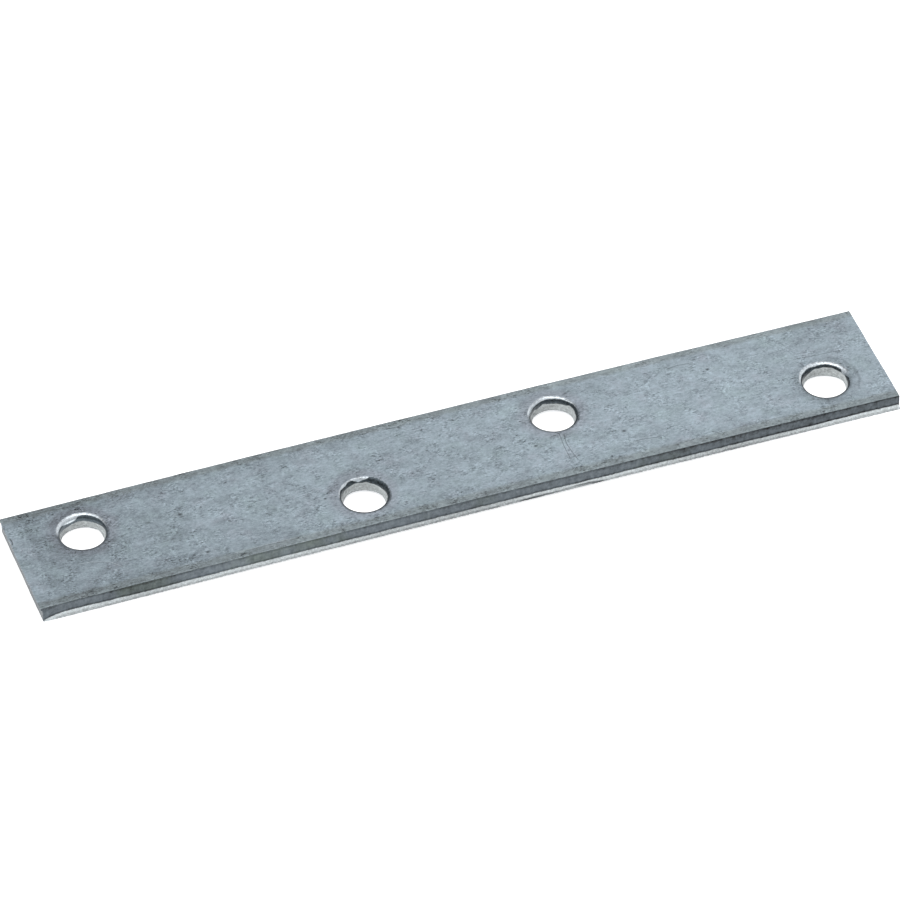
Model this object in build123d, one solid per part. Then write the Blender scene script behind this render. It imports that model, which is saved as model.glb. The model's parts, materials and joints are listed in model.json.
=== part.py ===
"""Straight mending plate of galvanised steel strip, 100 x 15 x 2 mm, with four staggered screw holes.

The plate is cropped from a slit strip and pierced in one press stroke, so it is a single solid whose every
cut wall has the three zones that shearing leaves: a rolled corner where the tool entered, a straight
burnished land, and a fracture that runs on to the burr face. The long edges, the right-hand end and the
holes were cut from the top. The left-hand end was cut from below, as the neighbour of the last plate's end.

Frame: millimetres, +X along the plate, +Y across it, +Z up out of the boards that it joins. The origin is
the centre of the underside, which lies on the boards.
"""

import os

from build123d import *

# The blank
plate_length = 100.0
plate_width = 15.0
plate_thickness = 2.0

# The screw holes, in two rows that step from side to side along the plate
hole_diameter = 5.0
outer_hole_margin = 7.4  # from each end of the plate to the outer hole, before the shift below
inner_hole_distance = 12.0  # from the middle of the pattern to the inner hole on each side
hole_row_offset = 2.5  # from the centre line to each row
pattern_shift = 0.65  # how far the press fed the strip on, towards +X, between piercing and cropping

# The sheared long edges and ends
edge_roll_width = 0.25  # how far the rolled corner reaches in over the face
edge_roll_depth = 0.2  # how far it reaches down the wall
edge_fracture_height = 0.6
edge_fracture_lean = 0.1  # how far the fracture leans out beyond the burnished land
edge_burr_break = 0.1  # the rounding that is left along the burr face

# The pierced holes' walls, whose mouths a worn punch drew in further
hole_roll_width = 0.55
hole_roll_depth = 0.5
hole_fracture_height = 1.1
hole_fracture_widening = 0.15  # the die's clearance: the wall's radius grows by this to the underside

# How far the tool solids run past the plate, so that no two faces coincide
tool_overrun = 1.0


def sheared_side(reach, rolled_face, burr_face):
    """Edges down one sheared wall, from the rolled face's height to the burr face's height.

    The first coordinate runs out of the plate, and the burr's tip is at reach. The second is height.
    """
    down = 1 if burr_face > rolled_face else -1
    land = reach - edge_fracture_lean
    roll_start = (land - edge_roll_width, rolled_face)
    roll_end = (land, rolled_face + down * edge_roll_depth)
    land_end = (land, burr_face - down * edge_fracture_height)
    burr_tip = (reach, burr_face - down * edge_burr_break)
    burr_end = (reach - edge_burr_break, burr_face)
    return [
        Bezier(roll_start, (land, rolled_face), roll_end),
        Line(roll_end, land_end),
        Line(land_end, burr_tip),
        Bezier(burr_tip, (reach, burr_face), burr_end),
    ]


def closed_profile(right_side, left_side):
    """The face between two sheared walls, the left one given as if it were on the right and mirrored here."""
    left_side = [edge.mirror(Plane.YZ) for edge in left_side]
    right_ends = [right_side[0] @ 0, right_side[-1] @ 1]
    left_ends = [left_side[0] @ 0, left_side[-1] @ 1]
    right_ends.sort(key=lambda point: point.Y)
    left_ends.sort(key=lambda point: point.Y)
    bottom = Line(left_ends[0], right_ends[0])
    top = Line(left_ends[1], right_ends[1])
    return make_face([*right_side, *left_side, bottom, top])


def slit_strip():
    """The strip as it leaves the slitter, with its rolled corners along the top."""
    half_width = plate_width / 2
    long_edge = sheared_side(half_width, plate_thickness, 0)
    section = Plane.YZ * closed_profile(long_edge, long_edge)
    return extrude(section, plate_length / 2 + tool_overrun, both=True)


def cropping_envelope():
    """The plate's side view, run across the strip: its right end is cut from above, its left from below."""
    half_length = plate_length / 2
    right_end = sheared_side(half_length, plate_thickness, 0)
    left_end = sheared_side(half_length, 0, plate_thickness)
    side_view = Plane.XZ * closed_profile(right_end, left_end)
    return extrude(side_view, plate_width / 2 + tool_overrun, both=True)


def pierced_void():
    """What one punch stroke removes, on the Z axis: rolled mouth, burnished bore and widening fracture."""
    bore_radius = hole_diameter / 2
    mouth_radius = bore_radius + hole_roll_width
    die_radius = bore_radius + hole_fracture_widening
    above = plate_thickness + tool_overrun
    below = -tool_overrun
    mouth = (mouth_radius, plate_thickness)
    land_top = (bore_radius, plate_thickness - hole_roll_depth)
    land_bottom = (bore_radius, hole_fracture_height)
    wall = [
        Line((0, above), (mouth_radius, above)),
        Line((mouth_radius, above), mouth),
        Bezier(mouth, (bore_radius, plate_thickness), land_top),
        Line(land_top, land_bottom),
        Line(land_bottom, (die_radius, 0)),
        Line((die_radius, 0), (die_radius, below)),
        Line((die_radius, below), (0, below)),
        Line((0, below), (0, above)),
    ]
    return revolve(Plane.XZ * make_face(wall), Axis.Z)


def hole_centres():
    """The holes from left to right, in the far row and the near row by turns."""
    outer_hole_distance = plate_length / 2 - outer_hole_margin
    distances = [-outer_hole_distance, -inner_hole_distance, inner_hole_distance, outer_hole_distance]
    rows = [hole_row_offset, -hole_row_offset] * 2
    return [(pattern_shift + distance, row) for distance, row in zip(distances, rows)]


def mending_plate():
    """The finished plate, one solid."""
    plate = slit_strip() & cropping_envelope()
    void = pierced_void()
    for x, y in hole_centres():
        plate -= Pos(x, y, 0) * void
    return plate


os.makedirs("parts", exist_ok=True)
export_step(mending_plate(), "parts/mending_plate.step")
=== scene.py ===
"""Dressed model of a galvanised mending plate: one strip of zinc-coated steel, slit, pierced and cropped.

The strip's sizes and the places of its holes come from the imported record. Everything that shows is built
here: the rolled and torn walls that the press leaves, the dents and scratches of handling, and the zinc.
"""

import json
import logging
import math
from dataclasses import dataclass, field
from enum import Enum
from typing import Any

import bmesh
import bpy
import numpy as np
from mathutils import Matrix, Quaternion, Vector
from mathutils.geometry import delaunay_2d_cdt


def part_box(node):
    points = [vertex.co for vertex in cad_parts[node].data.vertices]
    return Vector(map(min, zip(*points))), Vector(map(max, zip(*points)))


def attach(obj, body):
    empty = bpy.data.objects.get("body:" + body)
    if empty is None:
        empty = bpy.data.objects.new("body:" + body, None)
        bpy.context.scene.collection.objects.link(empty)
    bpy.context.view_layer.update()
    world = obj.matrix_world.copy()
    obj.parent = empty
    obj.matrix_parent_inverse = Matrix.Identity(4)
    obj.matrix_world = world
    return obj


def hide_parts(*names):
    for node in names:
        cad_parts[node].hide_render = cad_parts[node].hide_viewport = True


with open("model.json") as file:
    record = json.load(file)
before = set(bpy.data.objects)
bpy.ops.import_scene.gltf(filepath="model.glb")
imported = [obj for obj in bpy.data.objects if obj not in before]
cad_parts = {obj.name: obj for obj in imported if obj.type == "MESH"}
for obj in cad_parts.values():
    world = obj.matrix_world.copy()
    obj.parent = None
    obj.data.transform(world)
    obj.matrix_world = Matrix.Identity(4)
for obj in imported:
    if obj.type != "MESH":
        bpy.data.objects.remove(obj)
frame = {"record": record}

log = logging.getLogger("mending_plate")

MM = 0.001
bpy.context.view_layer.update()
CAD_NODE = "mending_plate"
PLATE_NAME = "zinc_coated_plate"
NOISE_MEAN = 0.5  # what a noise node gives on average
FAR_FROM_RIM = 5.0  # millimetres, past which a hole's distance no longer matters

Colour = tuple[float, float, float, float]
Point = tuple[float, float]
Point3 = tuple[float, float, float]


# --------------------------------------------------------------------------------------------------
# Node trees
# --------------------------------------------------------------------------------------------------


class Term:
    """A socket that can stand in a Python expression; each operator adds the Math node that it needs."""

    def __init__(self, bench: "Bench", socket: bpy.types.NodeSocket | None) -> None:
        """Wrap a socket.

        Args:
            bench: The node tree that the socket belongs to.
            socket: The output socket that carries the value, or None for a node that has no output.
        """
        self.bench = bench
        self.socket = socket

    def _math(self, operation: str, *values: Any) -> "Term":
        """Add a Math node over the values.

        Args:
            operation: The Math node's operation.
            *values: Terms or numbers, in the order of the node's sockets.

        Returns:
            The node's result.
        """
        return self.bench.add("ShaderNodeMath", {"operation": operation}, dict(enumerate(values)))

    def __add__(self, other: Any) -> "Term":
        """Sum."""
        return self._math("ADD", self, other)

    __radd__ = __add__

    def __sub__(self, other: Any) -> "Term":
        """Difference."""
        return self._math("SUBTRACT", self, other)

    def __rsub__(self, other: Any) -> "Term":
        """Difference, with the term on the right."""
        return self._math("SUBTRACT", other, self)

    def __mul__(self, other: Any) -> "Term":
        """Product."""
        return self._math("MULTIPLY", self, other)

    __rmul__ = __mul__

    def __truediv__(self, other: Any) -> "Term":
        """Quotient."""
        return self._math("DIVIDE", self, other)

    def at_least(self, other: Any) -> "Term":
        """The larger of the term and the other value."""
        return self._math("MAXIMUM", self, other)

    def at_most(self, other: Any) -> "Term":
        """The smaller of the term and the other value."""
        return self._math("MINIMUM", self, other)

    def cosine(self) -> "Term":
        """Cosine of the term in radians."""
        return self._math("COSINE", self)

    def sine(self) -> "Term":
        """Sine of the term in radians."""
        return self._math("SINE", self)

    def absolute(self) -> "Term":
        """The term without its sign."""
        return self._math("ABSOLUTE", self)

    def negative(self) -> "Term":
        """The term with its sign turned."""
        return self * -1.0

    def ramp(self, low: Any, high: Any, start: float = 0.0, end: float = 1.0) -> "Term":
        """Smooth step between two levels.

        Args:
            low: Level at which the step starts.
            high: Level at which the step ends.
            start: Result below the step.
            end: Result above the step.

        Returns:
            The stepped value.
        """
        return self.bench.add(
            "ShaderNodeMapRange",
            {"interpolation_type": "SMOOTHSTEP"},
            {"Value": self, "From Min": low, "From Max": high, "To Min": start, "To Max": end},
        )


class Bench:
    """A node tree in the making."""

    def __init__(self, tree: bpy.types.NodeTree) -> None:
        """Start on a tree.

        Args:
            tree: The tree that takes the nodes.
        """
        self.tree = tree

    @classmethod
    def cleared(cls, owner: bpy.types.Material | bpy.types.World) -> "Bench":
        """Switch on a material's or a world's nodes and empty the tree.

        Args:
            owner: What the tree belongs to.

        Returns:
            The empty tree.
        """
        owner.use_nodes = True
        owner.node_tree.nodes.clear()
        return cls(owner.node_tree)

    @staticmethod
    def _find(sockets: Any, key: int | str) -> bpy.types.NodeSocket:
        """Find a socket by number, identifier or name.

        Args:
            sockets: A node's inputs or outputs.
            key: The number, identifier or name.

        Returns:
            The socket.
        """
        if isinstance(key, int):
            return sockets[key]
        for socket in sockets:
            if socket.identifier == key:
                return socket
        return sockets[key]

    def add(
        self,
        kind: str,
        settings: dict[str, Any] | None = None,
        values: dict[int | str, Any] | None = None,
        output: int | str = 0,
    ) -> Term:
        """Add a node.

        Args:
            kind: The node's type.
            settings: Properties of the node, set before its sockets.
            values: A number, colour or Term for each socket that needs one.
            output: The output that is wanted.

        Returns:
            The wanted output as a Term.
        """
        node = self.tree.nodes.new(kind)
        for name, value in (settings or {}).items():
            if name == "stops":
                self._set_stops(node.color_ramp, value)
            else:
                setattr(node, name, value)
        for key, value in (values or {}).items():
            socket = self._find(node.inputs, key)
            if isinstance(value, Term):
                self.tree.links.new(value.socket, socket)
            else:
                socket.default_value = value
        return Term(self, self._find(node.outputs, output) if node.outputs else None)

    @staticmethod
    def _set_stops(ramp: bpy.types.ColorRamp, stops: list[tuple[float, Colour]]) -> None:
        """Give a colour ramp its stops.

        Args:
            ramp: The ramp to change.
            stops: Place and colour of each stop.
        """
        while len(ramp.elements) < len(stops):
            ramp.elements.new(1.0)
        for element, (place, colour) in zip(ramp.elements, stops):
            element.position = place
            element.color = colour

    def colours(self, factor: Any, first: Any, second: Any, blend: str = "MIX") -> Term:
        """Mix two colours.

        Args:
            factor: How much of the second colour.
            first: The first colour.
            second: The second colour.
            blend: The Mix node's blend type.

        Returns:
            The mixed colour.
        """
        return self.add(
            "ShaderNodeMix",
            {"data_type": "RGBA", "blend_type": blend, "clamp_factor": True},
            {"Factor_Float": factor, "A_Color": first, "B_Color": second},
            "Result_Color",
        )

    def profile(self, place: Term, knots: tuple[Point, ...]) -> Term:
        """Read a line of knots with a colour ramp.

        Args:
            place: Where it is read, from 0 to 1.
            knots: Place and value, each from 0 to 1.

        Returns:
            The value.
        """
        stops = [(at, (value, value, value, 1.0)) for at, value in knots]
        return self.add("ShaderNodeValToRGB", {"stops": stops}, {"Fac": place}, "Color")

    def grey(self, value: Term) -> Term:
        """Make a grey of the value."""
        return self.add("ShaderNodeCombineColor", None, {0: value, 1: value, 2: value})

    def toned(self, colour: Any, tone: Term) -> Term:
        """Make a colour darker or lighter.

        Args:
            colour: The colour at a tone of 1.
            tone: What each channel is multiplied by.

        Returns:
            The toned colour.
        """
        return self.colours(1.0, colour, self.grey(tone), "MULTIPLY")

    def attribute(self, name: str) -> Term:
        """Read a value that the mesh's points carry."""
        return self.add("ShaderNodeAttribute", {"attribute_name": name}, None, "Fac")

    def part(self, vector: Term, axis: str) -> Term:
        """Take one coordinate of a vector."""
        return self.add("ShaderNodeSeparateXYZ", None, {0: vector}, axis)

    def vectors(self, operation: str, first: Any, second: Any) -> Term:
        """Combine two vectors.

        Args:
            operation: The Vector Math node's operation.
            first: The first vector.
            second: The second vector.

        Returns:
            The result.
        """
        return self.add("ShaderNodeVectorMath", {"operation": operation}, {0: first, 1: second})

    def stretched(self, vector: Term, factors: Point3) -> Term:
        """Multiply each coordinate of a vector; a noise read there is finer along the larger factors."""
        return self.vectors("MULTIPLY", vector, factors)

    def moved(self, vector: Term, step: Any) -> Term:
        """Add a step to a vector, so that a noise read there shows another place."""
        return self.vectors("ADD", vector, step)

    def noise(self, vector: Term, scale: float, detail: float = 2.0, roughness: float = 0.5) -> Term:
        """Add fractal noise.

        Args:
            vector: Where it is read.
            scale: Its frequency, for a vector of that unit.
            detail: How many octaves.
            roughness: How strong the finer octaves are.

        Returns:
            The noise, about 0.5 on average.
        """
        return self.add(
            "ShaderNodeTexNoise",
            {"noise_dimensions": "3D"},
            {"Vector": vector, "Scale": scale, "Detail": detail, "Roughness": roughness},
            "Fac",
        )

    def stray(self, vector: Term, scale: float, detail: float = 2.0, roughness: float = 0.5) -> Term:
        """Fractal noise about zero, with the arguments of noise()."""
        return self.noise(vector, scale, detail, roughness) - NOISE_MEAN

    def cells(self, vector: Term, scale: float) -> Term:
        """Add angular cells, each with a random value of its own.

        Args:
            vector: Where they are read.
            scale: Their frequency, for a vector of that unit.

        Returns:
            The cell's value, from 0 to 1.
        """
        settings = {"voronoi_dimensions": "3D", "feature": "F1", "distance": "CHEBYCHEV"}
        colour = self.add("ShaderNodeTexVoronoi", settings, {"Vector": vector, "Scale": scale}, "Color")
        return self.part(colour, "X")


# --------------------------------------------------------------------------------------------------
# Sizes of the press work
# --------------------------------------------------------------------------------------------------


class Stroke(Enum):
    """Which face the shear entered by."""

    FROM_ABOVE = "from above"
    FROM_BELOW = "from below"


@dataclass(frozen=True)
class ShearedWall:
    """The section of one cut wall, in metres."""

    stroke: Stroke = Stroke.FROM_ABOVE
    roll_width: float = 0.12 * MM
    roll_depth: float = 0.15 * MM
    land_depth: float = 1.38 * MM
    lean: float = 0.17 * MM
    burr_break: float = 0.04 * MM
    overhang: float = 0.11 * MM  # how far the burr stands out past the strip's stated size
    least_fracture: float = 0.05 * MM  # keeps the torn part from vanishing where the land runs out

    def entered(self, depth: np.ndarray, thickness: float) -> np.ndarray:
        """Distance from the face that the tool entered by.

        Args:
            depth: Distance below the top face.
            thickness: The sheet's thickness.

        Returns:
            The distance, zero at the rolled corner.
        """
        return depth if self.stroke is Stroke.FROM_ABOVE else thickness - depth

    def inset(self, travel: np.ndarray, land: np.ndarray, thickness: float) -> np.ndarray:
        """How far the wall stands in from the burr's tip.

        Args:
            travel: Distance from the face that the tool entered by.
            land: Where the burnished land ends at that place.
            thickness: The sheet's thickness.

        Returns:
            The inset.
        """
        rolled = self.roll_width * (1 - np.sqrt(np.clip(travel / self.roll_depth, 0, 1))) ** 2
        torn = np.clip((travel - land) / np.maximum(thickness - land, self.least_fracture), 0, 1)
        last = np.clip((travel - (thickness - self.burr_break)) / self.burr_break, 0, 1)
        broken = self.burr_break * (1 - np.sqrt(1 - last**2))
        return rolled + self.lean * (1 - torn) + broken - self.overhang


class LatticeNoise:
    """Smooth repeatable noise on a plane, from a table of random numbers."""

    SIZE = 256
    OCTAVE_SHIFT = (37.1, 11.7)  # keeps the octaves' lattices from lining up

    def __init__(self, seed: int) -> None:
        """Draw the table.

        Args:
            seed: Seed of the table.
        """
        self.table = np.random.default_rng(seed).uniform(-1, 1, (self.SIZE, self.SIZE))

    def at(self, x: np.ndarray, y: np.ndarray, pitch: float, octaves: int = 1) -> np.ndarray:
        """Read the noise.

        Args:
            x: First coordinates.
            y: Second coordinates.
            pitch: Distance between the coarsest octave's lattice points.
            octaves: How many octaves, each half the size of the one before.

        Returns:
            Values between about -1 and 1.
        """
        total = np.zeros(np.broadcast(x, y).shape)
        weight = 1.0
        for octave in range(octaves):
            u = np.asarray(x) / pitch * 2**octave + self.OCTAVE_SHIFT[0] * octave
            v = np.asarray(y) / pitch * 2**octave + self.OCTAVE_SHIFT[1] * octave
            column, row = np.floor(u).astype(int), np.floor(v).astype(int)
            du, dv = u - column, v - row
            du, dv = du * du * (3 - 2 * du), dv * dv * (3 - 2 * dv)
            c0, c1 = column % self.SIZE, (column + 1) % self.SIZE
            r0, r1 = row % self.SIZE, (row + 1) % self.SIZE
            low = self.table[c0, r0] * (1 - du) + self.table[c1, r0] * du
            high = self.table[c0, r1] * (1 - du) + self.table[c1, r1] * du
            total = total + weight * (low * (1 - dv) + high * dv)
            weight *= 0.5
        return total


@dataclass(frozen=True)
class Wander:
    """How a line along an edge strays from straight, in metres."""

    row: float  # which row of the noise it reads, so that no two lines stray alike
    reach: float
    pitch: float
    octaves: int = 1

    def along(self, noise: LatticeNoise, place: np.ndarray, side: int = 1) -> np.ndarray:
        """Read how far the line strays.

        Args:
            noise: The noise that it reads.
            place: Where on the edge.
            side: -1 or 1 for one or the other of two like edges.

        Returns:
            The distances.
        """
        return self.reach * noise.at(place, self.row * side, self.pitch, self.octaves)


# --------------------------------------------------------------------------------------------------
# The mesh
# --------------------------------------------------------------------------------------------------


@dataclass
class Shell:
    """Loose sheets of faces that will be welded into one closed skin.

    Every point carries values that the finish reads: wall is 0 on the flat faces and 1 on a cut wall, torn
    is millimetres past the end of the burnished land, bore is 1 in a hole, polish is millimetres short of
    the end of a hole's lip, where a painted highlight goes, shade is 1 where a hole's mouth is painted in
    shade instead of that highlight, side runs from -1 at a hole's left to 1 at its right, rim is millimetres
    from the nearest bore, and mark is 1 in a dent, a scratch or the crack in the burr and below 0 on a raised
    lip.
    """

    WELD = 0.002 * MM
    SHORTEST_EDGE = 0.0005 * MM
    SHARP_FROM = math.radians(38)

    VALUES = {
        "wall": 0.0,
        "torn": -1.0,
        "bore": 0.0,
        "polish": -1.0,
        "shade": 0.0,
        "side": 0.0,
        "rim": FAR_FROM_RIM,
        "mark": 0.0,
    }

    points: list[Point3] = field(default_factory=list)
    faces: list[tuple[int, ...]] = field(default_factory=list)
    values: dict[str, list[float]] = field(default_factory=lambda: {key: [] for key in Shell.VALUES})

    def take(self, points: np.ndarray, faces: Any, **values: np.ndarray) -> None:
        """Add a sheet of faces.

        Args:
            points: Its points.
            faces: Its faces, by the sheet's own numbers.
            **values: The sheet's values by name; the rest keep their usual value.
        """
        first = len(self.points)
        self.points.extend(tuple(float(c) for c in p) for p in points)
        self.faces.extend(tuple(int(i) + first for i in f) for f in faces)
        for key, usual in self.VALUES.items():
            self.values[key].extend(np.broadcast_to(values.get(key, usual), len(points)).tolist())

    def mesh(self, name: str) -> bpy.types.Mesh:
        """Weld the sheets into a closed mesh with its faces outwards.

        Args:
            name: The mesh's name.

        Returns:
            The mesh, with each value as a point attribute.
        """
        mesh = bpy.data.meshes.new(name)
        mesh.from_pydata(self.points, [], self.faces)
        for key, values in self.values.items():
            mesh.attributes.new(key, "FLOAT", "POINT").data.foreach_set("value", values)
        work = bmesh.new()
        work.from_mesh(mesh)
        bmesh.ops.remove_doubles(work, verts=work.verts, dist=self.WELD)
        bmesh.ops.dissolve_degenerate(work, edges=work.edges, dist=self.SHORTEST_EDGE)
        bmesh.ops.recalc_face_normals(work, faces=work.faces)
        loose = [edge for edge in work.edges if len(edge.link_faces) != 2]
        log.info("%s: %d faces, %d open edges", name, len(work.faces), len(loose))
        if work.calc_volume(signed=True) < 0:
            bmesh.ops.reverse_faces(work, faces=work.faces)
        work.to_mesh(mesh)
        work.free()
        mesh.shade_smooth()
        mesh.set_sharp_from_angle(angle=self.SHARP_FROM)
        return mesh


def places_of(mesh: bpy.types.Mesh) -> np.ndarray:
    """Read the places of a mesh's points.

    Args:
        mesh: The mesh.

    Returns:
        A row of three coordinates for each point.
    """
    spots = np.zeros(len(mesh.vertices) * 3, np.float32)
    mesh.vertices.foreach_get("co", spots)
    return spots.reshape(-1, 3)


def shown(name: str, data: Any) -> bpy.types.Object:
    """Put a mesh, a camera or a lamp into the scene.

    Args:
        name: The object's name.
        data: What the object shows.

    Returns:
        The object.
    """
    made = bpy.data.objects.new(name, data)
    bpy.context.scene.collection.objects.link(made)
    return made


def grid_faces(columns: int, rows: int) -> list[tuple[int, int, int, int]]:
    """Quads over a sheet whose points run down each column in turn.

    Args:
        columns: How many columns of points.
        rows: How many points in a column.

    Returns:
        The quads.
    """
    return [
        (c * rows + r, c * rows + r + 1, (c + 1) * rows + r + 1, (c + 1) * rows + r)
        for c in range(columns - 1)
        for r in range(rows - 1)
    ]


@dataclass(frozen=True)
class Tear:
    """The marks that one punch stroke left on a hole's wall.

    Each line is a list of knots: degrees round the hole from +X, and millimetres.
    """

    lip: tuple[Point, ...]  # depth at which the lip ends; on the lit side it carries the painted highlight
    land: tuple[Point, ...]  # depth at which the burnished land ends and the torn wall starts
    flare: tuple[Point, ...]  # how much wider than usual the mouth is
    foot: tuple[Point, ...]  # how much wider than usual the underside is
    drift: Point  # how far the punch stood from its place, in millimetres

    @staticmethod
    def at(knots: tuple[Point, ...], degrees: np.ndarray) -> np.ndarray:
        """Read a line of knots round the hole.

        Args:
            knots: The line.
            degrees: Where it is read.

        Returns:
            The values in metres.
        """
        return np.interp(degrees, [k[0] for k in knots], [k[1] * MM for k in knots], period=360)


def stroke_marks() -> list[Tear]:
    """Set down what the punch left.

    Returns:
        The tears of the four holes, from left to right.
    """
    return [
        Tear(
            lip=(
                (-40, 0.05), (-15, 0.1), (35, 0.12), (75, 0.1), (85, 0.2), (92, 0.55), (105, 0.62),
                (115, 0.58), (125, 0.42), (135, 0.25), (165, 0.17), (200, 0.1), (280, 0.05),
            ),
            land=(
                (-30, 0.3), (0, 0.46), (15, 0.6), (30, 0.73), (50, 0.83), (70, 0.77), (85, 0.8), (95, 0.92),
                (115, 1.02), (125, 0.92), (145, 0.88), (165, 0.5), (250, 0.6),
            ),
            flare=(
                (0, -0.12), (30, 0), (55, 0.1), (90, 0.1), (110, 0.03), (140, 0), (165, -0.05), (210, 0.1),
                (330, 0.1),
            ),
            foot=(
                (0, -0.2), (15, -0.15), (25, 0), (35, 0.12), (60, 0.08), (100, -0.02), (130, -0.06),
                (150, -0.2), (180, -0.1),
            ),
            drift=(-0.05, -0.11),
        ),
        Tear(
            lip=(
                (-20, 0.05), (5, 0.03), (20, 0), (60, 0), (65, 0.15), (75, 0.3), (85, 0.42), (95, 0.25),
                (104, 0.06), (115, 0.08), (125, 0.2), (135, 0.17), (145, 0.06), (180, 0.05), (270, 0.03),
            ),
            land=(
                (-20, 0.3), (5, 0.53), (20, 0.68), (45, 0.62), (58, 0.6), (66, 0.48), (78, 0.63),
                (95, 0.52), (108, 0.63), (130, 0.66), (145, 0.85), (160, 0.6), (250, 0.6),
            ),
            flare=(
                (0, 0), (50, 0), (62, -0.12), (90, -0.17), (130, -0.12), (165, -0.15), (210, 0.1),
                (330, 0.15),
            ),
            foot=(
                (0, -0.2), (15, -0.08), (25, 0.04), (100, 0.05), (115, 0), (125, -0.1), (145, -0.25),
                (180, -0.1),
            ),
            drift=(0.09, -0.12),
        ),
        Tear(
            lip=(
                (-30, 0.05), (20, 0.08), (35, 0.12), (60, 0.17), (90, 0.21), (105, 0.23), (120, 0.28),
                (140, 0.32), (155, 0.25), (170, 0.1), (270, 0.05),
            ),
            land=(
                (-30, 0.3), (-5, 0.5), (5, 0.33), (25, 0.36), (35, 0.63), (55, 0.7), (72, 0.78), (85, 0.74),
                (95, 0.58), (105, 0.8), (115, 0.94), (125, 0.73), (140, 0.9), (160, 0.5), (250, 0.6),
            ),
            flare=(
                (30, -0.06), (60, 0), (80, 0.05), (92, 0.16), (102, 0), (115, -0.1), (150, -0.15), (180, 0),
                (210, 0.1), (330, 0.1),
            ),
            foot=(
                (-5, -0.25), (5, -0.1), (20, 0.05), (35, 0.12), (85, 0.07), (105, 0), (125, -0.05),
                (145, -0.25), (180, -0.1),
            ),
            drift=(0.03, -0.02),
        ),
        Tear(
            lip=(
                (-30, 0.06), (-5, 0.15), (8, 0.35), (12, 0.5), (20, 0.5), (25, 0.2), (35, 0.15), (60, 0.11),
                (80, 0.16), (95, 0.2), (115, 0.12), (130, 0.15), (165, 0.08), (270, 0.05),
            ),
            land=(
                (-30, 0.4), (-5, 0.6), (8, 0.36), (12, 0.48), (20, 0.48), (25, 0.4), (35, 0.48), (50, 0.38),
                (70, 0.4), (85, 0.5), (95, 0.46), (105, 0.58), (115, 0.72), (128, 0.78), (138, 0.74),
                (150, 0.5), (165, 0.2), (250, 0.5),
            ),
            flare=(
                (0, 0.05), (20, 0.15), (50, 0.2), (130, 0.17), (150, 0), (180, 0), (205, 0.3), (250, 0.45),
                (300, 0.15),
            ),
            foot=(
                (-5, -0.2), (5, -0.05), (15, 0.12), (28, 0.27), (45, 0.25), (60, 0.15), (105, 0.17),
                (120, 0.08), (130, -0.05), (150, -0.25), (180, -0.1),
            ),
            drift=(-0.11, 0.13),
        ),
    ]


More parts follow.
